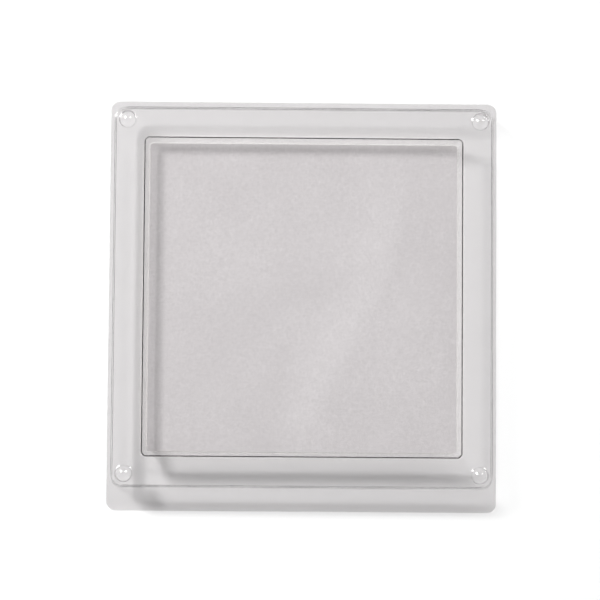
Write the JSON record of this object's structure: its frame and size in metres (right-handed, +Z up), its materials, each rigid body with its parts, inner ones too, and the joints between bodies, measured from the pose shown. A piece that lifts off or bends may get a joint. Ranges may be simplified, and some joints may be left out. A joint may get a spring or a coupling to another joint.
{
  "type": "wet palette",
  "caption": "Shallow clear plastic wet palette: a square tray whose well holds a damp pad and a paper sheet, under a flat lift-off lid with studded corners and a wide front lip.",
  "frame": {"origin": "centre of the flat underside of the tray's floor, on the surface that the palette stands on", "axes": "+Z up through the lid, +X to the right and -Y towards the wide front lips"},
  "size_m": [0.193, 0.2038, 0.0175],
  "materials": {
    "tray_plastic": "clear formed sheet, lightly scuffed",
    "lid_plastic": "clear formed sheet, lightly scuffed",
    "pad": "fine open-celled absorbent pad",
    "paper": "damp translucent membrane paper, faintly cloudy"
  },
  "bodies": {
    "tray": {"base_tray": "tray_plastic"},
    "pad": {"sponge_pad": "pad"},
    "sheet": {"palette_sheet": "paper"},
    "lid": {"lid": "lid_plastic"}
  },
  "joints": [
    {"name": "pad_lift", "type": "slide", "parent": "tray", "child": "pad", "axis": [0, 0, 1], "range_m": [0, 0.04]},
    {"name": "sheet_lift", "type": "slide", "parent": "pad", "child": "sheet", "axis": [0, 0, 1], "range_m": [0, 0.03]},
    {"name": "lid_lift", "type": "slide", "parent": "sheet", "child": "lid", "axis": [0, 0, 1], "range_m": [0, 0.06]}
  ]
}
